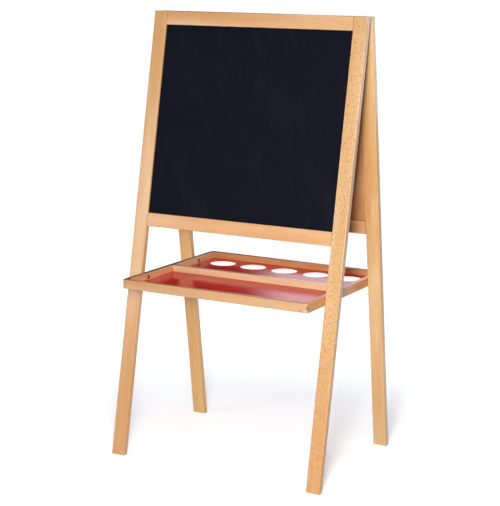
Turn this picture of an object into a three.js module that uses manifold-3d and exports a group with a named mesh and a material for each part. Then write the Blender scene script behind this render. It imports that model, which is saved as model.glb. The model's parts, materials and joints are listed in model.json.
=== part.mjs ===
// Double-sided children's easel: two leaning beech frames hinged together at the top,
// with a paint tray between the legs that swings on two bolts when the easel folds.
// Millimetres. X to the viewer's right, Y towards the back, Z up.
// Origin: the middle of the footprint, on the floor.
import * as THREE from 'three';
import { mergeVertices } from 'three/addons/utils/BufferGeometryUtils.js';
import Module from 'manifold-3d';

// Overall
const EASEL_WIDTH = 580;
const LEG_LENGTH = 1124;
const LEAN = THREE.MathUtils.degToRad(10);
const TOP_HALF_GAP = 4;
const PART_GAP = 0.3;

// Making the solids: a cutter runs past the face it cuts by CUT_PAST.
const CUT_PAST = 1;
const WELD_DISTANCE = 1e-4;
const BEVEL_STEPS = 4;
const STRAIGHT_OUTLINE_STEPS = 1;
const TRAY_CORNER_STEPS = 8;
const DIVIDER_EDGE_STEPS = 5;
const CUP_HOLE_STEPS = 32;

// Frames
const LEG_WIDTH = 36;
const WOOD_THICKNESS = 16;
const RAIL_HEIGHT = 34;
const LOWER_RAIL_TOP = 506.5;
const EDGE_ROUND = 1.8;
const FLOOR_ALLOWANCE = 20;
const FLOOR_CUTTER_DEPTH = 200;
const FLOOR_CUTTER_HEIGHT = 100;

// Panels
const PANEL_THICKNESS = 3;
const PANEL_GROOVE_DEPTH = 8;
const PANEL_FROM_OUTER_FACE = 6;

// Dowels of the frame joints
const DOWEL_RADIUS = 4;
const DOWEL_HALF_LENGTH = 18;
const DOWEL_SIDES = 16;
const DOWEL_PLACES_DOWN = [8.5, 19.5];

// Hinges
const HINGE_LENGTH = 50;
const HINGE_LEAF_HEIGHT = 24;
const HINGE_LEAF_THICKNESS = 1.5;
const HINGE_CENTRE_X = 170;
const PIN_DROP = 3;
const PIN_RADIUS = 1.8;
const PIN_SIDES = 24;
const KNUCKLE_RADIUS = 4;
const KNUCKLE_BORE = 2.1;
const MIDDLE_KNUCKLE_HALF = 8.5;
const SCREW_SPACING = 32;
const SCREW_DROP = 15;
const SCREW_RADIUS = 1.5;
const SCREW_HEAD_RADIUS = 3;
const SCREW_LENGTH = 12;
const SCREW_POINT_LENGTH = 2.5;
const SCREW_SIDES = 20;

// Tray
const TRAY_WIDTH = 506.8;
const TRAY_DEPTH = 455;
const TRAY_BOTTOM = 434.8;
const TRAY_RAIL_HEIGHT = 23;
const TRAY_RAIL_THICKNESS = 14;
const TRAY_CORNER_RADIUS = 10;
const TRAY_EDGE_ROUND = 1.8;
const FLOOR_TOP = 441;
const FLOOR_THICKNESS = 2;
const FLOOR_GROOVE_DEPTH = 5;
const CUP_HOLE_RADIUS = 34.5;
const CUP_HOLE_PITCH = 91.6;
const CUP_HOLE_COUNT = 5;
const CUP_HOLE_Y = 162;
const CORNER_DOWEL_RADIUS = 3;
const CORNER_DOWEL_HEIGHT = 450;
const CORNER_DOWEL_IN_RAIL = 8;
const CORNER_DOWEL_LENGTH = 28;

// Tray bolts and the threaded inserts in the legs
const BOLT_HEIGHT = 448.5;
const BOLT_RADIUS = 3;
const BOLT_HEAD_RADIUS = 5.25;
const BOLT_HEAD_HEIGHT = 3.3;
const BOLT_HEAD_RIM = 0.5;
const BOLT_CROWN_RADIUS = 2.6;
const BOLT_TIP_CHAMFER = 0.8;
const BOLT_SOCKET_RADIUS = 2.3;
const BOLT_SOCKET_DEPTH = 2;
const BOLT_SOCKET_SIDES = 6;
const BOLT_SIDES = 32;
const BOLT_DOME_STEPS = 6;
const INSERT_RADIUS = 4.5;
const INSERT_LENGTH = 13;

// Derived sizes
const INNER_HALF = EASEL_WIDTH / 2 - LEG_WIDTH;
const HALF_WIDTH = EASEL_WIDTH / 2;
const LOWER_RAIL_BOTTOM = LOWER_RAIL_TOP + RAIL_HEIGHT;
const TOP_HEIGHT = LEG_LENGTH * Math.cos(LEAN);
const TOP_OUTER_Y = TOP_HALF_GAP + WOOD_THICKNESS * Math.cos(LEAN);
const PIN_LOCAL_Y = WOOD_THICKNESS + TOP_HALF_GAP * Math.cos(LEAN) + PIN_DROP * Math.sin(LEAN);
const PIN_LOCAL_Z = TOP_HALF_GAP * Math.sin(LEAN) - PIN_DROP * Math.cos(LEAN);
const HALF_THICKNESS = WOOD_THICKNESS / 2;
const BOLT_DOWN = (TOP_HEIGHT - HALF_THICKNESS * Math.sin(LEAN) - BOLT_HEIGHT) / Math.cos(LEAN);
const BOLT_Y = TOP_OUTER_Y + BOLT_DOWN * Math.sin(LEAN) - HALF_THICKNESS * Math.cos(LEAN);
const TRAY_HALF_WIDTH = TRAY_WIDTH / 2;
const TRAY_HALF_DEPTH = TRAY_DEPTH / 2;
const TRAY_INNER_X = TRAY_HALF_WIDTH - TRAY_RAIL_THICKNESS;
const TRAY_INNER_Y = TRAY_HALF_DEPTH - TRAY_RAIL_THICKNESS;
const TRAY_MIDDLE_HEIGHT = TRAY_BOTTOM + TRAY_RAIL_HEIGHT / 2;
const FLOOR_MIDDLE = FLOOR_TOP - FLOOR_THICKNESS / 2;

const wasm = await Module();
wasm.setup();

// Colours and surfaces
const BEECH = { color: 0xe0b080, roughness: 0.45, metalness: 0 };
const DOWEL_BEECH = { color: 0xd0a070, roughness: 0.7, metalness: 0 };
const CHALKBOARD = { color: 0x14181f, roughness: 0.75, metalness: 0 };
const WHITEBOARD = { color: 0xf2f2ee, roughness: 0.15, metalness: 0 };
const RED_LACQUER = { color: 0xb52a26, roughness: 0.15, metalness: 0 };
const ZINC_STEEL = { color: 0xb8b8b4, roughness: 0.3, metalness: 1 };
const BRASS = { color: 0xb8923e, roughness: 0.4, metalness: 1 };

// ---------- joining and cutting ----------

function solidOf(geometry) {
  const bare = geometry.clone();
  bare.deleteAttribute('normal');
  bare.deleteAttribute('uv');
  const merged = mergeVertices(bare, WELD_DISTANCE);
  const mesh = new wasm.Mesh({
    numProp: 3,
    vertProperties: new Float32Array(merged.attributes.position.array),
    triVerts: new Uint32Array(merged.index.array),
  });
  return new wasm.Manifold(mesh);
}

function geometryOf(solid) {
  const mesh = solid.getMesh();
  const geometry = new THREE.BufferGeometry();
  const positions = new Float32Array(mesh.numVert * 3);
  for (let i = 0; i < mesh.numVert; i += 1) {
    for (let axis = 0; axis < 3; axis += 1) {
      positions[3 * i + axis] = mesh.vertProperties[mesh.numProp * i + axis];
    }
  }
  geometry.setAttribute('position', new THREE.BufferAttribute(positions, 3));
  geometry.setIndex(new THREE.BufferAttribute(new Uint32Array(mesh.triVerts), 1));
  return geometry;
}

function cutAll(solid, cutters) {
  return cutters.reduce((rest, cutter) => rest.subtract(cutter), solid);
}

// A box between two corners.
function boxSolid(low, high) {
  const size = high.map((value, axis) => value - low[axis]);
  const box = new THREE.BoxGeometry(...size);
  box.translate(...low.map((value, axis) => value + size[axis] / 2));
  return solidOf(box);
}

// A round bar along X or Y between two places on that axis.
function barGeometry(axis, radius, from, to, centre, sides) {
  const bar = new THREE.CylinderGeometry(radius, radius, to - from, sides);
  bar.translate(0, (from + to) / 2, 0);
  if (axis === 'x') {
    bar.rotateZ(-Math.PI / 2);
    bar.translate(0, centre[0], centre[1]);
  } else {
    bar.translate(centre[0], 0, centre[1]);
  }
  return bar;
}

function barSolid(axis, radius, from, to, centre, sides = DOWEL_SIDES) {
  return solidOf(barGeometry(axis, radius, from, to, centre, sides));
}

function meshOf(name, geometry, look) {
  const mesh = new THREE.Mesh(geometry, new THREE.MeshStandardMaterial(look));
  mesh.name = name;
  return mesh;
}

// ---------- outlines ----------

function rectanglePath(path, halfWidth, top, bottom) {
  path.moveTo(-halfWidth, top);
  path.lineTo(halfWidth, top);
  path.lineTo(halfWidth, bottom);
  path.lineTo(-halfWidth, bottom);
  path.closePath();
  return path;
}

function roundedRectangle(halfX, halfY, radius) {
  const outline = new THREE.Shape();
  outline.moveTo(-halfX + radius, -halfY);
  outline.lineTo(halfX - radius, -halfY);
  outline.absarc(halfX - radius, -halfY + radius, radius, -Math.PI / 2, 0, false);
  outline.lineTo(halfX, halfY - radius);
  outline.absarc(halfX - radius, halfY - radius, radius, 0, Math.PI / 2, false);
  outline.lineTo(-halfX + radius, halfY);
  outline.absarc(-halfX + radius, halfY - radius, radius, Math.PI / 2, Math.PI, false);
  outline.lineTo(-halfX, -halfY + radius);
  outline.absarc(-halfX + radius, -halfY + radius, radius, Math.PI, 1.5 * Math.PI, false);
  return outline;
}

// Extrudes an outline to a thickness along +Z with softened edges, inside its own size.
function softExtrusion(outline, thickness, rounding, curveSegments) {
  const geometry = new THREE.ExtrudeGeometry(outline, {
    depth: thickness - 2 * rounding,
    bevelEnabled: true,
    bevelThickness: rounding,
    bevelSize: rounding,
    bevelOffset: -rounding,
    bevelSegments: BEVEL_STEPS,
    curveSegments,
  });
  geometry.translate(0, 0, rounding);
  return geometry;
}

// ---------- a leaning frame ----------
// In a frame's own space X is across, Y runs from the outer face inwards,
// and Z is 0 at the top and negative down the legs.

function frameBlank() {
  const footEnd = LEG_LENGTH + FLOOR_ALLOWANCE;
  const outline = new THREE.Shape();
  outline.moveTo(-HALF_WIDTH, 0);
  outline.lineTo(HALF_WIDTH, 0);
  outline.lineTo(HALF_WIDTH, footEnd);
  outline.lineTo(INNER_HALF, footEnd);
  outline.lineTo(INNER_HALF, LOWER_RAIL_BOTTOM);
  outline.lineTo(-INNER_HALF, LOWER_RAIL_BOTTOM);
  outline.lineTo(-INNER_HALF, footEnd);
  outline.lineTo(-HALF_WIDTH, footEnd);
  outline.closePath();
  outline.holes.push(rectanglePath(new THREE.Path(), INNER_HALF, RAIL_HEIGHT, LOWER_RAIL_TOP));
  const blank = softExtrusion(outline, WOOD_THICKNESS, EDGE_ROUND, STRAIGHT_OUTLINE_STEPS);
  blank.rotateX(-Math.PI / 2);
  return solidOf(blank);
}

// Everything under the floor plane, as seen in the frame's own space.
function underFloor() {
  const slab = new THREE.BoxGeometry(2 * EASEL_WIDTH, FLOOR_CUTTER_DEPTH, FLOOR_CUTTER_HEIGHT);
  slab.translate(0, 0, -FLOOR_CUTTER_HEIGHT / 2);
  slab.rotateX(LEAN);
  slab.translate(0, 0, -LEG_LENGTH);
  return solidOf(slab);
}

function panelGroove() {
  const reach = INNER_HALF + PANEL_GROOVE_DEPTH + PART_GAP;
  const depth = PANEL_GROOVE_DEPTH + PART_GAP;
  const near = PANEL_FROM_OUTER_FACE - PART_GAP;
  const far = PANEL_FROM_OUTER_FACE + PANEL_THICKNESS + PART_GAP;
  return boxSolid([-reach, near, -LOWER_RAIL_TOP - depth], [reach, far, -RAIL_HEIGHT + depth]);
}

// Heights of the four dowels at one leg, two for each rail.
function dowelHeights() {
  const top = DOWEL_PLACES_DOWN.map((down) => -down);
  const lower = DOWEL_PLACES_DOWN.map((up) => -LOWER_RAIL_BOTTOM + up);
  return { top, lower };
}

function dowelHole(side, height) {
  const reach = DOWEL_HALF_LENGTH + PART_GAP;
  const middle = side * INNER_HALF;
  return barSolid('x', DOWEL_RADIUS + PART_GAP, middle - reach, middle + reach, [HALF_THICKNESS, height]);
}

function allDowelHoles() {
  const { top, lower } = dowelHeights();
  return [-1, 1].flatMap((side) => [...top, ...lower].map((height) => dowelHole(side, height)));
}

function insertHole(side) {
  const mouth = INNER_HALF - CUT_PAST;
  const end = INNER_HALF + INSERT_LENGTH + 2 * PART_GAP;
  const [from, to] = side > 0 ? [mouth, end] : [-end, -mouth];
  return barSolid('x', INSERT_RADIUS + PART_GAP, from, to, [HALF_THICKNESS, -BOLT_DOWN], BOLT_SIDES);
}

function screwPlaces() {
  return [-1, 1].flatMap((hinge) => [-1, 1].map(
    (end) => hinge * HINGE_CENTRE_X + end * SCREW_SPACING / 2,
  ));
}

function screwHole(x) {
  const deepEnd = WOOD_THICKNESS - SCREW_LENGTH - PART_GAP;
  const height = PIN_LOCAL_Z - SCREW_DROP;
  const opening = WOOD_THICKNESS + CUT_PAST;
  return barSolid('y', SCREW_RADIUS + PART_GAP, deepEnd, opening, [x, height]);
}

// The four wooden members of one frame, cut from the blank.
function frameMembers() {
  const holes = [panelGroove(), ...allDowelHoles(), ...screwPlaces().map(screwHole)];
  const inserts = [insertHole(-1), insertHole(1)];
  const body = cutAll(frameBlank(), [underFloor(), ...holes, ...inserts]);
  const deep = LEG_LENGTH + 2 * FLOOR_ALLOWANCE;
  const outerSide = HALF_WIDTH + CUT_PAST;
  const behind = WOOD_THICKNESS + CUT_PAST;
  const railHalf = INNER_HALF - PART_GAP;
  const legSpace = (side) => {
    const [from, to] = side > 0 ? [INNER_HALF, outerSide] : [-outerSide, -INNER_HALF];
    return boxSolid([from, -CUT_PAST, -deep], [to, behind, CUT_PAST]);
  };
  const railSpace = (bottom, top) => boxSolid(
    [-railHalf, -CUT_PAST, bottom - CUT_PAST],
    [railHalf, behind, top + CUT_PAST],
  );
  return {
    legs: { '-1': body.intersect(legSpace(-1)), 1: body.intersect(legSpace(1)) },
    topRail: body.intersect(railSpace(-RAIL_HEIGHT, 0)),
    lowerRail: body.intersect(railSpace(-LOWER_RAIL_BOTTOM, -LOWER_RAIL_TOP)),
  };
}

function panelGeometry() {
  const halfWidth = INNER_HALF + PANEL_GROOVE_DEPTH;
  const top = -RAIL_HEIGHT + PANEL_GROOVE_DEPTH;
  const bottom = -LOWER_RAIL_TOP - PANEL_GROOVE_DEPTH;
  const panel = new THREE.BoxGeometry(2 * halfWidth, PANEL_THICKNESS, top - bottom);
  panel.translate(0, PANEL_FROM_OUTER_FACE + PANEL_THICKNESS / 2, (top + bottom) / 2);
  return panel;
}

function dowelGeometry(side, height) {
  const middle = side * INNER_HALF;
  const from = middle - DOWEL_HALF_LENGTH;
  const to = middle + DOWEL_HALF_LENGTH;
  return barGeometry('x', DOWEL_RADIUS, from, to, [HALF_THICKNESS, height], DOWEL_SIDES);
}

function insertGeometry(side) {
  const mouth = INNER_HALF + PART_GAP;
  const end = mouth + INSERT_LENGTH;
  const [from, to] = side > 0 ? [mouth, end] : [-end, -mouth];
  const centre = [HALF_THICKNESS, -BOLT_DOWN];
  const outer = barSolid('x', INSERT_RADIUS, from, to, centre, BOLT_SIDES);
  const boreFrom = from - CUT_PAST;
  const boreTo = to + CUT_PAST;
  const bore = barSolid('x', BOLT_RADIUS + PART_GAP, boreFrom, boreTo, centre, BOLT_SIDES);
  return geometryOf(outer.subtract(bore));
}

// ---------- hinges ----------

function knuckleBar(centreX, from, to, radius) {
  return barSolid('x', radius, centreX + from, centreX + to, [PIN_LOCAL_Y, PIN_LOCAL_Z], BOLT_SIDES);
}

function countersink(x) {
  const back = WOOD_THICKNESS + PART_GAP;
  const front = back + HINGE_LEAF_THICKNESS;
  const cone = new THREE.CylinderGeometry(
    SCREW_HEAD_RADIUS + PART_GAP, SCREW_RADIUS + PART_GAP, HINGE_LEAF_THICKNESS, SCREW_SIDES,
  );
  cone.translate(x, (back + front) / 2, PIN_LOCAL_Z - SCREW_DROP);
  return solidOf(cone);
}

// One leaf with its knuckles; the other leaf's knuckles get room to turn.
function hingeLeaf(centreX, hasOuterKnuckles) {
  const half = HINGE_LENGTH / 2;
  const back = WOOD_THICKNESS + PART_GAP;
  const front = back + HINGE_LEAF_THICKNESS;
  const plate = boxSolid(
    [centreX - half, back, PIN_LOCAL_Z - HINGE_LEAF_HEIGHT],
    [centreX + half, front, PIN_LOCAL_Z],
  );
  const middle = [-MIDDLE_KNUCKLE_HALF, MIDDLE_KNUCKLE_HALF];
  const outerKnuckles = [[-half, middle[0] - PART_GAP], [middle[1] + PART_GAP, half]];
  const own = hasOuterKnuckles ? outerKnuckles : [middle];
  const others = hasOuterKnuckles ? [middle] : outerKnuckles;
  const clearance = KNUCKLE_RADIUS + PART_GAP;
  const rooms = others.map(([from, to]) => {
    const reachFrom = from <= -half ? from - CUT_PAST : from - PART_GAP;
    const reachTo = to >= half ? to + CUT_PAST : to + PART_GAP;
    return knuckleBar(centreX, reachFrom, reachTo, clearance);
  });
  let leaf = cutAll(plate, rooms);
  own.forEach(([from, to]) => {
    leaf = leaf.add(knuckleBar(centreX, from, to, KNUCKLE_RADIUS));
  });
  const bore = knuckleBar(centreX, -half - CUT_PAST, half + CUT_PAST, KNUCKLE_BORE);
  const sinks = [-1, 1].map((end) => countersink(centreX + end * SCREW_SPACING / 2));
  return geometryOf(cutAll(leaf, [bore, ...sinks]));
}

function hingePin(centreX) {
  const from = centreX - HINGE_LENGTH / 2;
  const to = centreX + HINGE_LENGTH / 2;
  return barGeometry('x', PIN_RADIUS, from, to, [PIN_LOCAL_Y, PIN_LOCAL_Z], PIN_SIDES);
}

// A countersunk wood screw, driven from the inner face of the rail outwards.
function hingeScrew(x) {
  const face = WOOD_THICKNESS + PART_GAP + HINGE_LEAF_THICKNESS;
  const neck = face - HINGE_LEAF_THICKNESS;
  const tip = WOOD_THICKNESS - SCREW_LENGTH;
  const profile = [
    new THREE.Vector2(0, tip),
    new THREE.Vector2(SCREW_RADIUS, tip + SCREW_POINT_LENGTH),
    new THREE.Vector2(SCREW_RADIUS, neck),
    new THREE.Vector2(SCREW_HEAD_RADIUS, face),
    new THREE.Vector2(0, face),
  ];
  const screw = new THREE.LatheGeometry(profile, SCREW_SIDES);
  screw.translate(x, 0, PIN_LOCAL_Z - SCREW_DROP);
  return geometryOf(solidOf(screw));
}

// ---------- tray ----------

// The rail ring before it is cut into four rails.
function trayRing() {
  const outline = roundedRectangle(TRAY_HALF_WIDTH, TRAY_HALF_DEPTH, TRAY_CORNER_RADIUS);
  outline.holes.push(rectanglePath(new THREE.Path(), TRAY_INNER_X, -TRAY_INNER_Y, TRAY_INNER_Y));
  const ring = softExtrusion(outline, TRAY_RAIL_HEIGHT, TRAY_EDGE_ROUND, TRAY_CORNER_STEPS);
  ring.translate(0, 0, TRAY_BOTTOM);
  return solidOf(ring);
}

function floorGroove(lowY, highY) {
  const reach = TRAY_INNER_X + FLOOR_GROOVE_DEPTH;
  const half = FLOOR_THICKNESS / 2 + PART_GAP;
  return boxSolid([-reach, lowY, FLOOR_MIDDLE - half], [reach, highY, FLOOR_MIDDLE + half]);
}

function cornerDowelPlace(sideX, sideY) {
  const outerEnd = TRAY_INNER_Y + CORNER_DOWEL_IN_RAIL;
  const innerEnd = outerEnd - CORNER_DOWEL_LENGTH;
  const [from, to] = sideY > 0 ? [innerEnd, outerEnd] : [-outerEnd, -innerEnd];
  const x = sideX * (TRAY_INNER_X + TRAY_RAIL_THICKNESS / 2);
  return { from, to, centre: [x, CORNER_DOWEL_HEIGHT] };
}

function cornerDowelHoles() {
  return [-1, 1].flatMap((sideX) => [-1, 1].map((sideY) => {
    const { from, to, centre } = cornerDowelPlace(sideX, sideY);
    return barSolid('y', CORNER_DOWEL_RADIUS + PART_GAP, from - PART_GAP, to + PART_GAP, centre);
  }));
}

function trayBoltHoles() {
  const span = TRAY_HALF_WIDTH + CUT_PAST;
  return [-1, 1].map((sideY) => barSolid(
    'x', BOLT_RADIUS + PART_GAP, -span, span, [sideY * BOLT_Y, BOLT_HEIGHT], BOLT_SIDES,
  ));
}

function trayRails() {
  const reachY = TRAY_INNER_Y + FLOOR_GROOVE_DEPTH;
  const cutters = [floorGroove(-reachY, reachY), ...cornerDowelHoles(), ...trayBoltHoles()];
  const ring = cutAll(trayRing(), cutters);
  const low = TRAY_BOTTOM - CUT_PAST;
  const high = TRAY_BOTTOM + TRAY_RAIL_HEIGHT + CUT_PAST;
  const endOfSide = TRAY_INNER_Y - PART_GAP;
  const wide = TRAY_HALF_WIDTH + CUT_PAST;
  const deep = TRAY_HALF_DEPTH + CUT_PAST;
  return {
    front: ring.intersect(boxSolid([-wide, -deep, low], [wide, -TRAY_INNER_Y, high])),
    rear: ring.intersect(boxSolid([-wide, TRAY_INNER_Y, low], [wide, deep, high])),
    left: ring.intersect(boxSolid([-wide, -endOfSide, low], [0, endOfSide, high])),
    right: ring.intersect(boxSolid([0, -endOfSide, low], [wide, endOfSide, high])),
  };
}

function dividerGeometry() {
  const half = TRAY_RAIL_THICKNESS / 2;
  const length = 2 * (TRAY_INNER_X - PART_GAP);
  const section = roundedRectangle(half, TRAY_RAIL_HEIGHT / 2, TRAY_EDGE_ROUND);
  const bar = new THREE.ExtrudeGeometry(section, {
    depth: length,
    bevelEnabled: false,
    curveSegments: DIVIDER_EDGE_STEPS,
  });
  bar.translate(0, 0, -length / 2);
  bar.rotateX(Math.PI / 2);
  bar.rotateZ(Math.PI / 2);
  bar.translate(0, 0, TRAY_MIDDLE_HEIGHT);
  const web = half - FLOOR_GROOVE_DEPTH;
  const outside = half + CUT_PAST;
  const grooves = [floorGroove(-outside, -web), floorGroove(web, outside)];
  return geometryOf(cutAll(solidOf(bar), grooves));
}

// Where a floor panel's edges lie: in the grooves of the rails and the divider.
function floorEdges() {
  const inGroove = FLOOR_GROOVE_DEPTH - PART_GAP;
  return {
    halfX: TRAY_INNER_X + inGroove,
    outerY: TRAY_INNER_Y + inGroove,
    innerY: TRAY_RAIL_THICKNESS / 2 - inGroove,
  };
}

function plainFloor() {
  const { halfX, outerY, innerY } = floorEdges();
  const floor = new THREE.BoxGeometry(2 * halfX, outerY - innerY, FLOOR_THICKNESS);
  floor.translate(0, -(outerY + innerY) / 2, FLOOR_MIDDLE);
  return floor;
}

function cupFloor() {
  const { halfX, outerY, innerY } = floorEdges();
  const outline = new THREE.Shape();
  rectanglePath(outline, halfX, innerY, outerY);
  for (let i = 0; i < CUP_HOLE_COUNT; i += 1) {
    const x = (i - (CUP_HOLE_COUNT - 1) / 2) * CUP_HOLE_PITCH;
    const hole = new THREE.Path();
    hole.absarc(x, CUP_HOLE_Y, CUP_HOLE_RADIUS, 0, 2 * Math.PI, true);
    outline.holes.push(hole);
  }
  const floor = new THREE.ExtrudeGeometry(outline, {
    depth: FLOOR_THICKNESS,
    bevelEnabled: false,
    curveSegments: CUP_HOLE_STEPS,
  });
  floor.translate(0, 0, FLOOR_TOP - FLOOR_THICKNESS);
  return floor;
}

function cornerDowelGeometry(sideX, sideY) {
  const { from, to, centre } = cornerDowelPlace(sideX, sideY);
  return barGeometry('y', CORNER_DOWEL_RADIUS, from, to, centre, DOWEL_SIDES);
}

// A button-head bolt on the inner face of a side rail, its shank pointing outwards.
function trayBolt(sideX, sideY, tipX) {
  const seat = TRAY_INNER_X - PART_GAP;
  const crown = seat - BOLT_HEAD_HEIGHT;
  const profile = [new THREE.Vector2(0, crown)];
  const rim = seat - BOLT_HEAD_RIM;
  for (let i = 0; i <= BOLT_DOME_STEPS; i += 1) {
    const turn = (i / BOLT_DOME_STEPS) * Math.PI / 2;
    const outwards = (BOLT_HEAD_RADIUS - BOLT_CROWN_RADIUS) * Math.sin(turn);
    const upwards = (rim - crown) * Math.cos(turn);
    profile.push(new THREE.Vector2(BOLT_CROWN_RADIUS + outwards, rim - upwards));
  }
  profile.push(new THREE.Vector2(BOLT_HEAD_RADIUS, seat));
  profile.push(new THREE.Vector2(BOLT_RADIUS, seat));
  profile.push(new THREE.Vector2(BOLT_RADIUS, tipX - BOLT_TIP_CHAMFER));
  profile.push(new THREE.Vector2(BOLT_RADIUS - BOLT_TIP_CHAMFER, tipX));
  profile.push(new THREE.Vector2(0, tipX));
  const turned = new THREE.LatheGeometry(profile, BOLT_SIDES);
  const socket = new THREE.CylinderGeometry(
    BOLT_SOCKET_RADIUS, BOLT_SOCKET_RADIUS, 2 * BOLT_SOCKET_DEPTH, BOLT_SOCKET_SIDES,
  );
  socket.translate(0, crown, 0);
  const geometry = geometryOf(solidOf(turned).subtract(solidOf(socket)));
  geometry.rotateZ(sideX > 0 ? -Math.PI / 2 : Math.PI / 2);
  geometry.translate(0, sideY * BOLT_Y, BOLT_HEIGHT);
  return geometry;
}

// ---------- assembly ----------

const SIDE_NAMES = { '-1': 'left', 1: 'right' };

// turned is -1 for the rear frame, which is the front one turned half way about Z.
function buildFrame(prefix, turned, panelName, panelLook) {
  const tilt = new THREE.Group();
  tilt.position.set(0, -TOP_OUTER_Y, TOP_HEIGHT);
  tilt.rotation.x = -LEAN;
  const members = frameMembers();
  const { top, lower } = dowelHeights();
  [-1, 1].forEach((side) => {
    const sideName = SIDE_NAMES[side * turned];
    tilt.add(meshOf(`${prefix}_${sideName}_leg`, geometryOf(members.legs[side]), BEECH));
    [['top', top], ['lower', lower]].forEach(([rail, heights]) => {
      heights.forEach((height, i) => {
        const name = `${prefix}_${sideName}_${rail}_dowel_${i + 1}`;
        tilt.add(meshOf(name, dowelGeometry(side, height), DOWEL_BEECH));
      });
    });
    tilt.add(meshOf(`${prefix}_${sideName}_insert_nut`, insertGeometry(side), BRASS));
  });
  tilt.add(meshOf(`${prefix}_top_rail`, geometryOf(members.topRail), BEECH));
  tilt.add(meshOf(`${prefix}_lower_rail`, geometryOf(members.lowerRail), BEECH));
  tilt.add(meshOf(panelName, panelGeometry(), panelLook));
  [-1, 1].forEach((side) => {
    const sideName = SIDE_NAMES[side * turned];
    const centreX = side * HINGE_CENTRE_X;
    const isFront = turned > 0;
    const leafName = `${sideName}_hinge_${prefix}_leaf`;
    tilt.add(meshOf(leafName, hingeLeaf(centreX, isFront), ZINC_STEEL));
    if (isFront) {
      tilt.add(meshOf(`${sideName}_hinge_pin`, hingePin(centreX), ZINC_STEEL));
    }
    [-1, 1].forEach((end, i) => {
      const x = centreX + end * SCREW_SPACING / 2;
      const name = `${sideName}_hinge_${prefix}_screw_${i + 1}`;
      tilt.add(meshOf(name, hingeScrew(x), ZINC_STEEL));
    });
  });
  const frame = new THREE.Group();
  frame.rotation.z = turned > 0 ? 0 : Math.PI;
  frame.add(tilt);
  return frame;
}

function buildTray() {
  const tray = new THREE.Group();
  Object.entries(trayRails()).forEach(([place, solid]) => {
    tray.add(meshOf(`tray_${place}_rail`, geometryOf(solid), BEECH));
  });
  tray.add(meshOf('tray_divider', dividerGeometry(), BEECH));
  tray.add(meshOf('tray_front_floor', plainFloor(), RED_LACQUER));
  tray.add(meshOf('tray_cup_floor', cupFloor(), RED_LACQUER));
  [-1, 1].forEach((sideX) => {
    const sideName = SIDE_NAMES[sideX];
    [[-1, 'front'], [1, 'rear']].forEach(([sideY, end]) => {
      const dowel = cornerDowelGeometry(sideX, sideY);
      tray.add(meshOf(`tray_${end}_${sideName}_corner_dowel`, dowel, DOWEL_BEECH));
      // The front bolts run on into the legs. The rear ones stop at the rail's outer face.
      const tipX = sideY < 0 ? INNER_HALF + INSERT_LENGTH : TRAY_HALF_WIDTH;
      tray.add(meshOf(`${end}_${sideName}_tray_bolt`, trayBolt(sideX, sideY, tipX), ZINC_STEEL));
    });
  });
  return tray;
}

const easel = new THREE.Group();
easel.add(buildFrame('front', 1, 'chalkboard_panel', CHALKBOARD));
easel.add(buildFrame('rear', -1, 'whiteboard_panel', WHITEBOARD));
easel.add(buildTray());

export default easel;
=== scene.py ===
"""Kids easel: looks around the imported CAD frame. Metres, X right, Y back, Z up."""
import json
import math
import bmesh
import bpy
from mathutils import Euler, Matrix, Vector


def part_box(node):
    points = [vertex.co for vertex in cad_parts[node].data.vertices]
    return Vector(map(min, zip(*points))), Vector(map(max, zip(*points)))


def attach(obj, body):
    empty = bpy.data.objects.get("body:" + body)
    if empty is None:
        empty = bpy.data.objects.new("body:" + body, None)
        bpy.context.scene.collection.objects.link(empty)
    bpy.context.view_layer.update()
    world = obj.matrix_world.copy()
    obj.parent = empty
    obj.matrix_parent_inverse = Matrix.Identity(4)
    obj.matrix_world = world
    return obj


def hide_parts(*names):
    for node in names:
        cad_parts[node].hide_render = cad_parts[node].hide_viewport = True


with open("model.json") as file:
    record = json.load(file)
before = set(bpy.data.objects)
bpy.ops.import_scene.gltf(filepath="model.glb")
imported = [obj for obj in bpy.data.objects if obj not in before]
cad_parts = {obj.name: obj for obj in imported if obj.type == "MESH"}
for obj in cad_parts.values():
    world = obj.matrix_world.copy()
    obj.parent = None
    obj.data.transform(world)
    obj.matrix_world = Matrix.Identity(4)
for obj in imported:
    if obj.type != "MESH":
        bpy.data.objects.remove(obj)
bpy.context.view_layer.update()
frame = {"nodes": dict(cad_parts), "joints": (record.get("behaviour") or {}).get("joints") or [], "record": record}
NODES = frame["nodes"]
BODY_OF = {name: body for body, names in frame["record"]["behaviour"]["bodies"].items() for name in names}
MM = 0.001
X, Y, Z = range(3)


# ---------- node trees ----------

# Most of a noise's values lie between these two.
NOISE_LOW, NOISE_HIGH = 0.3, 0.7


def opaque(rgb):
    return (*rgb, 1.0) if len(rgb) == 3 else rgb


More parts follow.
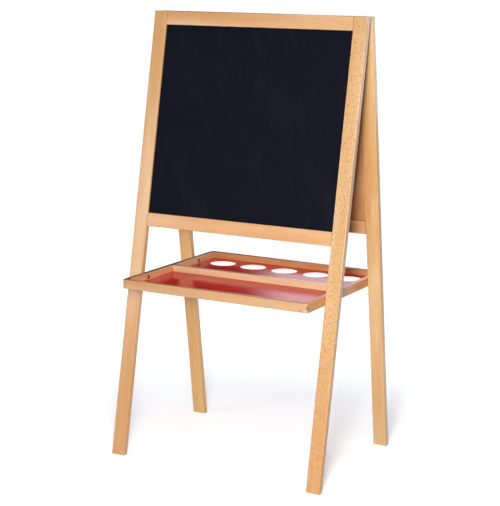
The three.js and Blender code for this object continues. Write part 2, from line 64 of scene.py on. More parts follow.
class Tree:
    """Short names for building a node tree. A value is a number, a tuple or another node's socket."""

    def __init__(self, node_tree):
        self.nodes = node_tree.nodes
        self.links = node_tree.links
        self.nodes.clear()
        coordinates = self.nodes.new("ShaderNodeTexCoord")
        self.place = coordinates.outputs["Object"]
        self.facing = coordinates.outputs["Normal"]
        self.direction = coordinates.outputs["Generated"]

    def put(self, socket, value):
        if isinstance(value, bpy.types.NodeSocket):
            self.links.new(value, socket)
        elif value is not None:
            socket.default_value = value

    def math(self, operation, *values):
        node = self.nodes.new("ShaderNodeMath")
        node.operation = operation
        for socket, value in zip(node.inputs, values):
            self.put(socket, value)
        return node.outputs[0]

    def times(self, a, b):
        return self.math("MULTIPLY", a, b)

    def vector_math(self, operation, *values):
        node = self.nodes.new("ShaderNodeVectorMath")
        node.operation = operation
        for socket, value in zip(node.inputs, values):
            self.put(socket, value)
        return node.outputs

    def distance(self, vector, point):
        return self.vector_math("DISTANCE", vector, point)["Value"]

    def split(self, vector):
        node = self.nodes.new("ShaderNodeSeparateXYZ")
        self.put(node.inputs[0], vector)
        return node.outputs

    def turned(self, vector, rotation, shift=(0, 0, 0), scale=(1, 1, 1)):
        node = self.nodes.new("ShaderNodeMapping")
        self.put(node.inputs["Vector"], vector)
        self.put(node.inputs["Location"], shift)
        self.put(node.inputs["Rotation"], rotation)
        self.put(node.inputs["Scale"], scale)
        return node.outputs[0]

    def noise(self, vector, scale, detail=2.0, roughness=0.5, distortion=0.0):
        """Scale is in cycles a metre, one number or one for each axis."""
        node = self.nodes.new("ShaderNodeTexNoise")
        each = scale if isinstance(scale, tuple) else (scale,) * 3
        self.put(node.inputs["Vector"], self.turned(vector, (0, 0, 0), scale=each))
        self.put(node.inputs["Scale"], 1.0)
        self.put(node.inputs["Detail"], detail)
        self.put(node.inputs["Roughness"], roughness)
        self.put(node.inputs["Distortion"], distortion)
        return node.outputs["Fac"]

    def cells(self, vector, scale):
        """The distance to the nearest cell's middle, and that cell's own random colour."""
        node = self.nodes.new("ShaderNodeTexVoronoi")
        self.put(node.inputs["Vector"], self.turned(vector, (0, 0, 0), scale=scale))
        self.put(node.inputs["Scale"], 1.0)
        return node.outputs["Distance"], node.outputs["Color"]

    def ranged(self, value, low, high, to_low=0.0, to_high=1.0, smooth=True):
        node = self.nodes.new("ShaderNodeMapRange")
        node.interpolation_type = "SMOOTHSTEP" if smooth else "LINEAR"
        for name, number in (("From Min", low), ("From Max", high), ("To Min", to_low), ("To Max", to_high)):
            self.put(node.inputs[name], number)
        self.put(node.inputs["Value"], value)
        return node.outputs["Result"]

    def spread(self, noise, to_low=0.0, to_high=1.0):
        return self.ranged(noise, NOISE_LOW, NOISE_HIGH, to_low, to_high)

    def blend(self, share, a, b):
        node = self.nodes.new("ShaderNodeMix")
        self.put(node.inputs[0], share)
        self.put(node.inputs[2], a)
        self.put(node.inputs[3], b)
        return node.outputs[0]

    def mix(self, share, a, b):
        node = self.nodes.new("ShaderNodeMix")
        node.data_type = "RGBA"
        self.put(node.inputs[0], share)
        self.put(node.inputs[6], opaque(a) if isinstance(a, tuple) else a)
        self.put(node.inputs[7], opaque(b) if isinstance(b, tuple) else b)
        return node.outputs[2]

    def mottle(self, noise, a, b):
        return self.mix(self.spread(noise), a, b)

    def bump(self, height, strength, distance):
        node = self.nodes.new("ShaderNodeBump")
        self.put(node.inputs["Height"], height)
        self.put(node.inputs["Strength"], strength)
        self.put(node.inputs["Distance"], distance)
        return node.outputs[0]


class Surface(Tree):
    """A material's node tree, round one Principled shader."""

    def __init__(self, name):
        self.material = bpy.data.materials.new(name)
        self.material.use_nodes = True
        super().__init__(self.material.node_tree)
        output = self.nodes.new("ShaderNodeOutputMaterial")
        self.shader = self.nodes.new("ShaderNodeBsdfPrincipled")
        self.links.new(self.shader.outputs[0], output.inputs["Surface"])

    def finish(self, base, roughness, normal=None, **more):
        self.put(self.shader.inputs["Base Color"], base)
        self.put(self.shader.inputs["Roughness"], roughness)
        self.put(self.shader.inputs["Normal"], normal)
        for name, value in more.items():
            self.put(self.shader.inputs[name.replace("_", " ")], value)
        return self.material


# ---------- beech ----------

# Patterns in the wood. The last axis runs along the grain.
BROAD_FIGURE = dict(scale=(26, 26, 2.6), detail=3.0, roughness=0.55)
STREAKS = dict(scale=(95, 95, 5.0), detail=3.0, roughness=0.6, distortion=0.3)
FINE_PORES = dict(scale=(900, 900, 22), roughness=0.6)
RING_WAVER = dict(scale=(14, 14, 1.6))
END_PORES = dict(scale=(1300, 1300, 200), detail=1.0)
KNOT_WOBBLE = dict(scale=500, detail=1.0)
SEED_STEPS = (0.371, 0.637, 0.819)

# The year rings' middle runs along the grain, this far from the origin, and wavers by up to this much.
PITH_X, PITH_Y = 0.05, -0.09
PITH_WAVER_X, PITH_WAVER_Y = 0.03, 0.02
RING_RADIANS_PER_METRE = 1500.0

BEECH_PALE = (0.60, 0.365, 0.184)
BEECH_TAN = (0.55, 0.298, 0.122)
BEECH_ORANGE = (0.52, 0.235, 0.078)
RING_BROWN = (0.36, 0.17, 0.06)
PORE_BROWN = (0.34, 0.16, 0.06)
FLECK_BROWN = (0.25, 0.092, 0.022)
END_GRAIN_BROWN = (0.44, 0.225, 0.095)
END_PORE_BROWN = (0.30, 0.14, 0.05)
END_RING_BROWN = (0.24, 0.105, 0.035)
KNOT_BROWN = (0.20, 0.09, 0.02)
# the dark brown of painted shade on faces that look up
TOP_PAINTED_SHADE_BROWN = (0.16, 0.075, 0.025)
JOINT_BROWN = (0.16, 0.07, 0.03)

RING_SHARE, PORE_SHARE, END_RING_SHARE, JOINT_SHARE = 0.10, 0.22, 0.35, 0.75
RING_SPAN, FIGURE_SPAN, WARM_SPAN, PORE_SPAN = (-0.2, 1.0), (0.32, 0.68), (0.22, 0.40), (0.42, 0.72)
END_PORE_SPAN, END_FACING_SPAN, UP_FACING_SPAN = (0.4, 0.7), (0.55, 0.85), (0.6, 0.95)
FOOT_STREAK_SPAN, FOOT_STREAK_SHARES = (0.25, 0.6), (0.55, 1.0)
FOOT_TOP, FOOT_BOTTOM = 0.42, 0.04
KNOT_CORE, KNOT_EDGE, KNOT_RAGGEDNESS = 0.45, 1.1, 0.8
JOINT_WIDE, JOINT_NARROW = 1.6 * MM, 0.4 * MM
PORE_HEIGHT, FLECK_HEIGHT = 0.6, 0.5
GRAIN_DEPTH, GRAIN_STRENGTH = 0.25 * MM, 0.35
WOOD_ROUGHNESS, ROUGH_STREAKS, ROUGH_PORES = (0.30, 0.46), 0.6, 0.4
COAT_ROUGHNESS, COAT_IOR = 0.12, 1.5

# Short dark flecks, fine and close, and a sparser, larger kind. Rarity and strength are each a start and
# how much a piece's own share of flecks adds to it.
SMALL_FLECKS = dict(scale=(330, 330, 200), edge=(0.20, 0.42), channel=0, rarity=(1.0, -0.55), fade=0.06,
                    strength=(0.25, 0.65))
LARGE_FLECKS = dict(scale=(250, 250, 140), edge=(0.16, 0.32), channel=1, rarity=(0.97, -0.20), fade=0.03,
                    strength=(0.45, 0.50))


def ring_mask(t, along, shift):
    """Year rings, as circles round a pith that wavers along the grain."""
    waver = t.noise(along, **RING_WAVER)
    across = t.split(along)
    pith_x = t.math("ADD", t.math("SUBTRACT", across[X], shift[X] + PITH_X), t.times(waver, PITH_WAVER_X))
    pith_y = t.math("ADD", t.math("SUBTRACT", across[Y], shift[Y] + PITH_Y), t.times(waver, PITH_WAVER_Y))
    radius = t.math("SQRT", t.math("ADD", t.math("POWER", pith_x, 2.0), t.math("POWER", pith_y, 2.0)))
    return t.ranged(t.math("SINE", t.times(radius, RING_RADIANS_PER_METRE)), *RING_SPAN)


def fleck_mask(t, along, flecks, scale, edge, channel, rarity, fade, strength):
    """At most one dash to a cell, in the cells whose random number is high enough."""
    near, which = t.cells(along, scale)
    dash = t.ranged(near, *edge, 1.0, 0.0)
    rare = rarity[0] + rarity[1] * flecks
    shown = t.ranged(t.split(which)[channel], rare, rare + fade, smooth=False)
    return t.times(t.times(dash, shown), min(1.0, strength[0] + strength[1] * flecks))


def knot_mask(t, point, size, dark):
    wobble = t.math("SUBTRACT", t.noise(t.place, **KNOT_WOBBLE), 0.5)
    away = t.math("ADD", t.distance(t.place, point), t.times(wobble, size * KNOT_RAGGEDNESS))
    return t.ranged(away, size * KNOT_CORE, size * KNOT_EDGE, dark, 0.0)


def beech(name, seed, turn, tone, warmth, flecks, foot=0.0, end_grain=1.0, knots=(), butted=None,
          painted_top_shade=0.0, coat=0.35):
    """Lacquered beech whose grain runs along the axis that turn brings upright.

    tone multiplies every colour. butted is the axis and the reach of the ends that meet another piece.
    """
    t = Surface(name)

    def toned(rgb):
        return tuple(part * share for part, share in zip(rgb, tone))

    shift = tuple((seed * step) % 1.0 for step in SEED_STEPS)
    along = t.turned(t.place, turn, shift)
    broad = t.noise(along, **BROAD_FIGURE)
    streak = t.noise(along, **STREAKS)
    fine = t.noise(along, **FINE_PORES)
    rings = ring_mask(t, along, shift)
    orange = toned(BEECH_ORANGE)

    base = t.mix(t.ranged(broad, *FIGURE_SPAN), toned(BEECH_PALE), toned(BEECH_TAN))
    warm_spots = t.ranged(t.times(broad, streak), *WARM_SPAN)
    base = t.mix(t.times(warm_spots, warmth), base, orange)
    base = t.mix(t.times(rings, RING_SHARE), base, toned(RING_BROWN))
    base = t.mix(t.ranged(fine, *PORE_SPAN, 0.0, PORE_SHARE), base, toned(PORE_BROWN))

    # wood near the foot of a leg is a warmer orange
    low = t.ranged(t.split(t.place)[Z], FOOT_BOTTOM, FOOT_TOP, foot, 0.0)
    base = t.mix(t.times(low, t.ranged(streak, *FOOT_STREAK_SPAN, *FOOT_STREAK_SHARES)), base, orange)

    fleck = t.math("MAXIMUM", fleck_mask(t, along, flecks, **SMALL_FLECKS),
                   fleck_mask(t, along, flecks, **LARGE_FLECKS))
    base = t.mix(fleck, base, toned(FLECK_BROWN))

    # end grain is browner and shows the pores as dots
    grain_facing = t.math("ABSOLUTE", t.split(t.turned(t.facing, turn))[Z])
    pores = t.ranged(t.noise(along, **END_PORES), *END_PORE_SPAN)
    end_colour = t.mix(pores, toned(END_GRAIN_BROWN), toned(END_PORE_BROWN))
    end_colour = t.mix(t.times(rings, END_RING_SHARE), end_colour, toned(END_RING_BROWN))
    base = t.mix(t.ranged(grain_facing, *END_FACING_SPAN, 0.0, end_grain), base, end_colour)

    for knot in knots:
        base = t.mix(knot_mask(t, *knot), base, toned(KNOT_BROWN))
    if butted:
        axis, reach = butted
        from_middle = t.math("ABSOLUTE", t.split(t.place)[axis])
        close = t.ranged(from_middle, reach - JOINT_WIDE, reach - JOINT_NARROW, 0.0, JOINT_SHARE)
        base = t.mix(close, base, JOINT_BROWN)
    # painted shade: faces that look up are darkened towards a dark brown, where little light falls from above
    if painted_top_shade:
        painted_top_mask = t.ranged(t.split(t.facing)[Z], *UP_FACING_SPAN, 0.0, painted_top_shade)
        base = t.mix(painted_top_mask, base, toned(TOP_PAINTED_SHADE_BROWN))

    height = t.math("SUBTRACT", t.times(fine, PORE_HEIGHT), t.times(fleck, FLECK_HEIGHT))
    uneven = t.math("ADD", t.times(streak, ROUGH_STREAKS), t.times(fine, ROUGH_PORES))
    return t.finish(base, t.spread(uneven, *WOOD_ROUGHNESS), t.bump(height, GRAIN_STRENGTH, GRAIN_DEPTH),
                    Coat_Weight=coat, Coat_Roughness=COAT_ROUGHNESS, IOR=COAT_IOR, Coat_IOR=COAT_IOR)


# ---------- boards ----------

HARDBOARD_FIBRE = dict(scale=420, detail=3.0, roughness=0.7)
HARDBOARD_CLOUDS = dict(scale=12, detail=3.0)
PAINT_GRAIN = dict(scale=1400)
PAINT_TOOTH = dict(scale=1700)
PAINT_PATCHES = dict(scale=30, detail=3.0)
MELAMINE_CLOUDS = dict(scale=6, detail=3.0)
MELAMINE_SMEARS = dict(scale=(80, 80, 12), detail=4.0)
MELAMINE_RIPPLE = dict(scale=90, detail=1.0)

HARDBOARD_LIGHT, HARDBOARD_DARK = (0.48, 0.235, 0.09), (0.35, 0.160, 0.055)
HARDBOARD_CLOUD, HARDBOARD_CLOUD_SPAN, HARDBOARD_CLOUD_SHARE = (0.62, 0.35, 0.15), (0.35, 0.65), 0.35
HARDBOARD_ROUGHNESS = 0.62
CHALK_BLACK, CHALK_BLACK_LIGHT = (0.0018, 0.0022, 0.0060), (0.0030, 0.0036, 0.0088)
CHALK_HAZE, CHALK_DUST = (0.20, 0.23, 0.27), (0.5, 0.52, 0.55)
MELAMINE_LIGHT, MELAMINE_DARK, WIPED_INK = (0.90, 0.89, 0.85), (0.84, 0.83, 0.795), (0.45, 0.48, 0.52)
CHALKBOARD_ROUGHNESS, CHALKBOARD_STRENGTH, CHALKBOARD_SPECULAR = (0.52, 0.66), 0.25, 0.05
MELAMINE_ROUGHNESS, MELAMINE_STRENGTH = (0.10, 0.20), 0.08
BOARD_DEPTH = 0.3 * MM
FINISHED_FACING_SPAN = (0.5, 0.6)

# What a wiping hand leaves: its strokes' tilt in radians, their scale, the noise values that show, and how
# strong the marks are.
HAZE_STROKES = dict(tilt=0.5, scale=(9, 9, 3), roughness=0.6, span=(0.45, 0.75), share=0.010)
DUST_STROKES = dict(tilt=0.35, scale=(60, 60, 7), roughness=0.65, span=(0.55, 0.8), share=0.006)
INK_STROKES = dict(tilt=0.4, scale=(70, 70, 8), roughness=0.6, span=(0.58, 0.8), share=0.10)


def strokes(t, tilt, scale, roughness, span, share):
    marks = t.noise(t.turned(t.place, (0, tilt, 0)), scale, detail=4.0, roughness=roughness)
    return t.ranged(marks, *span, 0.0, share)


def chalkboard_face(t):
    """Colour, roughness and height of matt black paint with a trace of chalk."""
    base = t.mottle(t.noise(t.place, **PAINT_GRAIN), CHALK_BLACK, CHALK_BLACK_LIGHT)
    base = t.mix(strokes(t, **HAZE_STROKES), base, CHALK_HAZE)
    base = t.mix(strokes(t, **DUST_STROKES), base, CHALK_DUST)
    roughness = t.spread(t.noise(t.place, **PAINT_PATCHES), *CHALKBOARD_ROUGHNESS)
    return base, roughness, t.noise(t.place, **PAINT_TOOTH)


def whiteboard_face(t):
    """Colour, roughness and height of gloss white melamine with a little wiped-off ink."""
    base = t.mottle(t.noise(t.place, **MELAMINE_CLOUDS), MELAMINE_LIGHT, MELAMINE_DARK)
    base = t.mix(strokes(t, **INK_STROKES), base, WIPED_INK)
    roughness = t.spread(t.noise(t.place, **MELAMINE_SMEARS), *MELAMINE_ROUGHNESS)
    return base, roughness, t.noise(t.place, **MELAMINE_RIPPLE)


def two_sided_board(name, outward, face, bump_strength, **more):
    """Bare hardboard with one finished face; outward is -1 if that face looks to -Y, and 1 to +Y."""
    t = Surface(name)
    fibre = t.noise(t.place, **HARDBOARD_FIBRE)
    cloud = t.ranged(t.noise(t.place, **HARDBOARD_CLOUDS), *HARDBOARD_CLOUD_SPAN, 0.0, HARDBOARD_CLOUD_SHARE)
    bare = t.mix(cloud, t.mottle(fibre, HARDBOARD_LIGHT, HARDBOARD_DARK), HARDBOARD_CLOUD)
    finished = t.ranged(t.times(t.split(t.facing)[Y], outward), *FINISHED_FACING_SPAN)
    base, roughness, height = face(t)
    bumps = t.bump(t.blend(finished, fibre, height), bump_strength, BOARD_DEPTH)
    base = t.mix(finished, bare, base)
    return t.finish(base, t.blend(finished, HARDBOARD_ROUGHNESS, roughness), bumps, **more)


# ---------- lacquer and metal ----------

LACQUER_CLOUDS = dict(scale=11, detail=4.0, roughness=0.6)
LACQUER_PATCHES = dict(scale=45, detail=4.0)
ORANGE_PEEL = dict(scale=150, detail=1.0)
SCRATCHES = dict(scale=(24, 900, 900))
SPECKS = (330, 330, 330)
METAL_CLOUDS = dict(scale=120, detail=4.0, roughness=0.6)
BRUSH_MARKS = dict(scale=(300, 2600, 2600))

LACQUER_RED, LACQUER_DEEP_RED = (0.75, 0.020, 0.018), (0.65, 0.015, 0.014)
LACQUER_WORN_RED, SPECK_SHARE, SCRATCH_SHARE = (0.78, 0.10, 0.09), 0.15, 0.12
SPECK_EDGE, SPECK_RARITY, SCRATCH_SPAN = (0.1, 0.2), (0.8, 0.85), (0.70, 0.8)
SCRATCH_TILT = 0.4
LACQUER_ROUGHNESS, LACQUER_SPECULAR = (0.12, 0.18), 0.18
LACQUER_DEPTH, LACQUER_STRENGTH = 0.2 * MM, 0.04
BRUSH_DEPTH, BRUSH_STRENGTH = 0.1 * MM, 0.12

BRASS = dict(light=(0.75, 0.52, 0.22), dark=(0.60, 0.38, 0.14), rough_low=0.22, rough_high=0.42)
BOLT_STEEL = dict(light=(0.32, 0.22, 0.14), dark=(0.17, 0.12, 0.08), rough_low=0.30, rough_high=0.48)
ZINC_STEEL = dict(light=(0.62, 0.60, 0.56), dark=(0.46, 0.45, 0.43), rough_low=0.24, rough_high=0.42)


def red_lacquer():
    """Gloss red with fine orange peel, pale specks and hairline scratches."""
    t = Surface("red_lacquer")
    speck, which = t.cells(t.place, SPECKS)
    dots = t.times(t.ranged(speck, *SPECK_EDGE, 1.0, 0.0), t.ranged(t.split(which)[X], *SPECK_RARITY))
    scratch = t.noise(t.turned(t.place, (0, 0, SCRATCH_TILT)), **SCRATCHES)
    base = t.mottle(t.noise(t.place, **LACQUER_CLOUDS), LACQUER_RED, LACQUER_DEEP_RED)
    base = t.mix(t.times(dots, SPECK_SHARE), base, LACQUER_WORN_RED)
    base = t.mix(t.ranged(scratch, *SCRATCH_SPAN, 0.0, SCRATCH_SHARE), base, LACQUER_WORN_RED)
    roughness = t.spread(t.noise(t.place, **LACQUER_PATCHES), *LACQUER_ROUGHNESS)
    peel = t.bump(t.noise(t.place, **ORANGE_PEEL), LACQUER_STRENGTH, LACQUER_DEPTH)
    return t.finish(base, roughness, peel, Specular_IOR_Level=LACQUER_SPECULAR)


def metal(name, light, dark, rough_low, rough_high):
    """Cloudy metal, brushed along X."""
    t = Surface(name)
    brushed = t.noise(t.place, **BRUSH_MARKS)
    base = t.mottle(t.noise(t.place, **METAL_CLOUDS), light, dark)
    return t.finish(base, t.spread(brushed, rough_low, rough_high),
                    t.bump(brushed, BRUSH_STRENGTH, BRUSH_DEPTH), Metallic=1.0)


# ---------- pieces from the frame ----------

WELD = 0.001 * MM
FLAT_WITHIN = math.radians(0.3)
SMOOTH_WITHIN = math.radians(32)
BEVEL_ABOVE = math.radians(50)
WOOD_BEVEL, FLOOR_BEVEL = 0.35 * MM, 0.25 * MM


def smoothed_copy(node, edge_bevel=0.0):
    """A welded, smooth-shaded copy of a CAD node that stands for it."""
    data = bpy.data.meshes.new(node + "_finished")
    work = bmesh.new()
    work.from_mesh(NODES[node].data)
    bmesh.ops.remove_doubles(work, verts=work.verts, dist=WELD)
    bmesh.ops.dissolve_limit(work, angle_limit=FLAT_WITHIN, verts=work.verts, edges=work.edges)
    work.to_mesh(data)
    work.free()
    piece = bpy.data.objects.new(node + "_finished", data)
    bpy.context.scene.collection.objects.link(piece)
    data.polygons.foreach_set("use_smooth", [True] * len(data.polygons))
    data.set_sharp_from_angle(angle=SMOOTH_WITHIN)
    if edge_bevel:
        bevel = piece.modifiers.new("eased_edges", "BEVEL")
        bevel.width = edge_bevel
        bevel.segments = 2
        bevel.limit_method = "ANGLE"
        bevel.angle_limit = BEVEL_ABOVE
        bevel.use_clamp_overlap = True
        bevel.harden_normals = True
    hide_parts(node)
    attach(piece, BODY_OF[node])
    return piece


def dress(piece, material):
    piece.data.materials.clear()
    piece.data.materials.append(material)


# The turns that bring each piece's grain upright. Each frame leans by half of what it folds.
FOLD_DEGREES = next(joint["range_deg"][1] for joint in frame["joints"] if joint["name"] == "frame_fold")
LEAN = math.radians(FOLD_DEGREES / 2)
FRONT_LEG_TURN = (LEAN, 0, 0)
REAR_LEG_TURN = (-LEAN, 0, 0)
ACROSS_TURN = (0, -math.pi / 2, 0)
DEPTH_TURN = (math.pi / 2, 0, 0)

# Two knots near the right end of the tray's front rail: place, radius and darkness.
TRAY_RAIL_LOW, TRAY_RAIL_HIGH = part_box("tray_front_rail")


def on_tray_rail(from_end, from_face, above_underside):
    return (TRAY_RAIL_HIGH[X] - from_end, TRAY_RAIL_LOW[Y] + from_face, TRAY_RAIL_LOW[Z] + above_underside)


TRAY_KNOTS = ((on_tray_rail(2.9 * MM, 2.9 * MM, 11.7 * MM), 6.0 * MM, 0.85),
              (on_tray_rail(21.4 * MM, 0.0, 5.2 * MM), 2.6 * MM, 1.0))

# Each piece's tone multiplies its colours. The tones were fitted piece by piece to how bright each piece looks
# when lit, so they are partly the wood's own colour and partly painted light and shade where the lamps light a
# piece too much or too little.
WOOD = {
    "front_left_leg": dict(turn=FRONT_LEG_TURN, tone=(0.91, 0.91, 0.89), warmth=0.30, flecks=0.20,
                           foot=0.60),
    "front_right_leg": dict(turn=FRONT_LEG_TURN, tone=(0.91, 0.96, 0.98), warmth=0.35, flecks=1.00,
                            foot=0.90),
    "rear_left_leg": dict(turn=REAR_LEG_TURN, tone=(1.07, 1.07, 0.88), warmth=0.50, flecks=0.12,
                          foot=0.15),
    "rear_right_leg": dict(turn=REAR_LEG_TURN, tone=(1.01, 1.08, 1.06), warmth=0.60, flecks=0.12,
                           foot=0.15),
    "front_top_rail": dict(turn=ACROSS_TURN, tone=(0.92, 0.94, 1.03), warmth=0.45, flecks=0.15,
                           painted_top_shade=0.6),
    "front_lower_rail": dict(turn=ACROSS_TURN, tone=(0.93, 0.88, 0.88), warmth=0.40, flecks=0.15),
    "rear_top_rail": dict(turn=ACROSS_TURN, tone=(0.95, 0.95, 0.95), warmth=0.45, flecks=0.25,
                          painted_top_shade=0.6),
    "rear_lower_rail": dict(turn=ACROSS_TURN, tone=(1.00, 1.00, 1.00), warmth=0.45, flecks=0.25),
    "tray_front_rail": dict(turn=ACROSS_TURN, tone=(0.75, 0.70, 0.62), warmth=0.40, flecks=0.20,
                            end_grain=0.25, knots=TRAY_KNOTS, coat=0.6),
    "tray_rear_rail": dict(turn=ACROSS_TURN, tone=(0.86, 0.62, 0.45), warmth=0.75, flecks=0.20,
                           end_grain=0.5, painted_top_shade=0.6, coat=0.15),
    "tray_left_rail": dict(turn=DEPTH_TURN, tone=(1.12, 1.01, 1.01), warmth=0.80, flecks=0.20,
                           end_grain=0.5, painted_top_shade=1.0, coat=0.15),
    "tray_right_rail": dict(turn=DEPTH_TURN, tone=(1.16, 0.84, 0.50), warmth=0.45, flecks=0.25,
                            end_grain=0.5, coat=0.25),
    "tray_divider": dict(turn=ACROSS_TURN, tone=(1.02, 1.15, 1.51), warmth=0.15, flecks=0.15, coat=0.6),
}
DOWEL_WOOD = dict(tone=(0.9, 0.9, 0.9), warmth=0.4, flecks=0.3, coat=0.6)
DOWEL_SEED, CORNER_DOWEL_SEED = 31, 37

# The rails that end against another piece, and the axis they run along.
BUTTED = {"front_top_rail": X, "front_lower_rail": X, "rear_top_rail": X, "rear_lower_rail": X,
          "tray_left_rail": Y, "tray_right_rail": Y, "tray_divider": X}


def finish_wood():
    for seed, (node, look) in enumerate(WOOD.items(), start=1):
        butted = None
        if node in BUTTED:
            axis = BUTTED[node]
            butted = (axis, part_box(node)[1][axis])
        dress(smoothed_copy(node, WOOD_BEVEL), beech("beech_" + node, seed, butted=butted, **look))


def finish_the_rest():
    """The boards, the red floors, the dowels and the metal, each told by what its name contains."""
    looks = {
        "chalkboard_panel": two_sided_board("chalkboard_paint", -1, chalkboard_face, CHALKBOARD_STRENGTH,
                                            Specular_IOR_Level=CHALKBOARD_SPECULAR),
        "whiteboard_panel": two_sided_board("whiteboard_melamine", 1, whiteboard_face, MELAMINE_STRENGTH),
        "floor": red_lacquer(),
        "corner_dowel": beech("beech_corner_dowels", CORNER_DOWEL_SEED, DEPTH_TURN, **DOWEL_WOOD),
        "dowel": beech("beech_dowels", DOWEL_SEED, ACROSS_TURN, **DOWEL_WOOD),
        "insert_nut": metal("brass", **BRASS),
        "tray_bolt": metal("bolt_steel", **BOLT_STEEL),
        "hinge": metal("zinc_steel", **ZINC_STEEL),
    }
    for node in NODES:
        if node not in WOOD:
            kind = next(kind for kind in looks if kind in node)
            dress(smoothed_copy(node, FLOOR_BEVEL if kind == "floor" else 0.0), looks[kind])


# ---------- floor and backdrop ----------

WHITE = (1.0, 1.0, 1.0)
FLOOR_HALF_SIZE, FLOOR_ALBEDO = 1200.0, 0.90
PAPER_HALF_WIDTH, PAPER_HALF_DEPTH, PAPER_ALBEDO = 0.75, 0.85, 0.50
PAPER_PLACE = (-0.05, -0.10, -0.002)

# The floor glows less near the object, so that its shadows show, and more beyond.
GLOW_NEAR, GLOW_FAR = 0.35, 1.25
FLOOR_GLOW_NEAR, FLOOR_GLOW_FAR, PAPER_GLOW = 0.40, 0.975, 0.10
GLOW_NEAR_TINT = (0.90, 0.965, 1.0)

WALL_RADIUS, WALL_HEIGHT, WALL_GLOW = 60.0, 180.0, 1.02
WALL_LIGHT_GREY, WALL_DARK_GREY = (0.02, 0.02, 0.02), (0.01, 0.01, 0.01)
STAGE_ROUGHNESS = 0.9
SHEET_CLOUD, SHEET_LIGHTER, SHEET_DARKER = 0.6, 0.02, 0.01
WALL_CLOUD = 0.01


def stage_object(name, work):
    """Turns a bmesh into a sheet or wall that isn't part of the object."""
    data = bpy.data.meshes.new(name)
    work.to_mesh(data)
    work.free()
    stage = bpy.data.objects.new(name, data)
    bpy.context.scene.collection.objects.link(stage)
    return stage


def glowing_sheet(name, half_width, half_depth, place, albedo, glow_near, glow_far):
    """A plain pale sheet that is a little self-lit, like a photographer's light table."""
    work = bmesh.new()
    bmesh.ops.create_grid(work, x_segments=4, y_segments=4, size=1.0)
    for vertex in work.verts:
        vertex.co = Vector((vertex.co.x * half_width, vertex.co.y * half_depth, 0)) + Vector(place)
    sheet = stage_object(name, work)
    t = Surface(name)
    base = t.mottle(t.noise(t.place, SHEET_CLOUD), (albedo + SHEET_LIGHTER,) * 3,
                    (albedo - SHEET_DARKER,) * 3)
    away = t.distance(t.place, (0, 0, 0))
    dress(sheet, t.finish(base, STAGE_ROUGHNESS, Specular_IOR_Level=0.0,
                          Emission_Color=t.mix(t.ranged(away, GLOW_NEAR, GLOW_FAR), GLOW_NEAR_TINT, WHITE),
                          Emission_Strength=t.ranged(away, GLOW_NEAR, GLOW_FAR, glow_near, glow_far)))
    return sheet


def floor_and_paper():
    """The floor that shows, out to the horizon, and the nearer paper just under it that lights the object."""
    floor = glowing_sheet("studio_floor", FLOOR_HALF_SIZE, FLOOR_HALF_SIZE, (0, 0, 0), FLOOR_ALBEDO,
                          FLOOR_GLOW_NEAR, FLOOR_GLOW_FAR)
    floor.visible_diffuse = False
    floor.visible_shadow = False
    paper = glowing_sheet("studio_paper", PAPER_HALF_WIDTH, PAPER_HALF_DEPTH, PAPER_PLACE, PAPER_ALBEDO,
                          PAPER_GLOW, PAPER_GLOW)
    paper.visible_camera = False
    paper.visible_glossy = False
    paper.visible_shadow = False


def backdrop_wall():
    """A pale round wall far out, seen above the floor's edge by a low camera, that lights nothing."""
    work = bmesh.new()
    bmesh.ops.create_cone(work, cap_ends=False, segments=64, radius1=WALL_RADIUS, radius2=WALL_RADIUS,
                          depth=WALL_HEIGHT)
    wall = stage_object("studio_wall", work)
    t = Surface("studio_wall")
    base = t.mottle(t.noise(t.place, WALL_CLOUD), WALL_LIGHT_GREY, WALL_DARK_GREY)
    dress(wall, t.finish(base, STAGE_ROUGHNESS, Specular_IOR_Level=0.0, Emission_Color=opaque(WHITE),
                         Emission_Strength=WALL_GLOW))
    wall.visible_diffuse = False
    wall.visible_glossy = False
    wall.visible_transmission = False
    wall.visible_shadow = False


# ---------- world ----------

# Walls of light and dark that the gloss reflects. Azimuths are in degrees from +Y, to the right.
ROOM_LIGHT = (0.03, 0.03, 0.03)
PALE_WALL_AZIMUTH, PALE_WALL_HALF_WIDTH, PALE_WALL_LIGHT = 3.5, 30.5, (1.60, 1.52, 1.72)
DARK_WALL_AZIMUTH, DARK_WALL_HALF_WIDTH, DARK_WALL_LIGHT = -57.0, 30.0, (0.012, 0.012, 0.012)
WALL_SOFTNESS = 0.9
WALL_TOP_START, WALL_TOP_END = math.sin(math.radians(28)), math.sin(math.radians(45))


def studio_world():
    """A dim studio with a pale wall to the right behind the object and a dark one to the left of that."""
    world = bpy.data.worlds.new("studio")
    world.use_nodes = True
    t = Tree(world.node_tree)
    level = t.vector_math("NORMALIZE", t.vector_math("MULTIPLY", t.direction, (1, 1, 0))[0])[0]

    def wall(centre, half_width):
        """1 towards a wall of that azimuth and half width, and 0 away from it."""
        angle = math.radians(centre)
        toward = t.vector_math("DOT_PRODUCT", level, (math.sin(angle), math.cos(angle), 0))["Value"]
        return t.ranged(toward, math.cos(math.radians(half_width + WALL_SOFTNESS)),
                        math.cos(math.radians(half_width - WALL_SOFTNESS)))

    light = t.mix(wall(PALE_WALL_AZIMUTH, PALE_WALL_HALF_WIDTH), ROOM_LIGHT, PALE_WALL_LIGHT)
    light = t.mix(wall(DARK_WALL_AZIMUTH, DARK_WALL_HALF_WIDTH), light, DARK_WALL_LIGHT)
    above = t.ranged(t.split(t.direction)[Z], WALL_TOP_START, WALL_TOP_END)
    background = t.nodes.new("ShaderNodeBackground")
    t.put(background.inputs["Color"], t.mix(above, light, ROOM_LIGHT))
    output = t.nodes.new("ShaderNodeOutputWorld")
    t.put(output.inputs["Surface"], background.outputs[0])
    bpy.context.scene.world = world


# ---------- lights and camera ----------

MIDDLE = (0, 0, 0.55)
LIGHT_STAND = 2.3
WARM_WHITE = (1.0, 0.99, 0.97)


def around(azimuth, height):
    """A place on the ring of lights; azimuth is measured from the front, to the right, in degrees."""
    angle = math.radians(azimuth)
    return (math.sin(angle) * LIGHT_STAND, -math.cos(angle) * LIGHT_STAND, height)


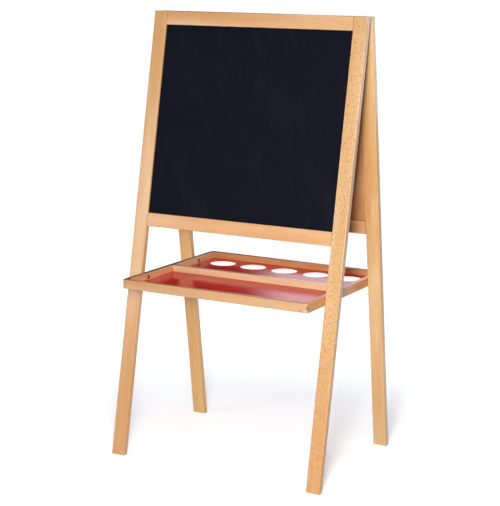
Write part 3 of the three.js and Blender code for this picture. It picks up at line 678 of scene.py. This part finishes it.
# name: place, aim, width, height, watts, tint
SOFTBOXES = {
    "key_softbox": (around(24, 0.95), MIDDLE, 0.3, 0.3, 53.0, WARM_WHITE),
    "high_softbox": (around(23, 1.5), MIDDLE, 0.7, 0.7, 26.0, WARM_WHITE),
    "fill_softbox": (around(-40, 0.95), MIDDLE, 0.8, 0.8, 9.0, WHITE),
    "top_softbox": ((0, -0.15, 2.6), (0, -0.15, 0), 1.4, 1.4, 6.0, WHITE),
    "side_softbox": ((0.80, -0.40, 1.22), (0.26, 0.02, 1.05), 0.25, 0.5, 0.3, WHITE),
    "back_softbox": ((1.00, 1.40, 1.10), (0.28, 0.00, 0.90), 0.7, 0.8, 2.6, WHITE),
}

CAMERA_PLACE = (1.56175, -3.03163, 1.16372)
CAMERA_DEGREES = (79.20587, -1.11913, 27.73647)
CAMERA_LENS, CAMERA_FILM = 99.637, 36.0
CAMERA_REACH = 5000.0


def softbox(name, place, aim, width, height, watts, tint):
    data = bpy.data.lights.new(name, "AREA")
    data.shape = "RECTANGLE"
    data.size = width
    data.size_y = height
    data.energy = watts
    data.color = tint
    lamp = bpy.data.objects.new(name, data)
    lamp.location = place
    lamp.rotation_mode = "QUATERNION"
    lamp.rotation_quaternion = (Vector(aim) - Vector(place)).to_track_quat("-Z", "Y")
    lamp.visible_camera = False
    bpy.context.scene.collection.objects.link(lamp)


def photo_camera():
    """The camera that the photograph was taken with, as far as its picture tells."""
    data = bpy.data.cameras.new("camera")
    data.lens = CAMERA_LENS
    data.sensor_width = CAMERA_FILM
    data.sensor_fit = "HORIZONTAL"
    data.clip_end = CAMERA_REACH
    camera = bpy.data.objects.new("camera", data)
    camera.location = CAMERA_PLACE
    camera.rotation_euler = Euler([math.radians(angle) for angle in CAMERA_DEGREES], "XYZ")
    bpy.context.scene.collection.objects.link(camera)
    bpy.context.scene.camera = camera
    bpy.context.scene.view_settings.view_transform = "Standard"


finish_wood()
finish_the_rest()
floor_and_paper()
backdrop_wall()
studio_world()
for name, look in SOFTBOXES.items():
    softbox(name, *look)
photo_camera()
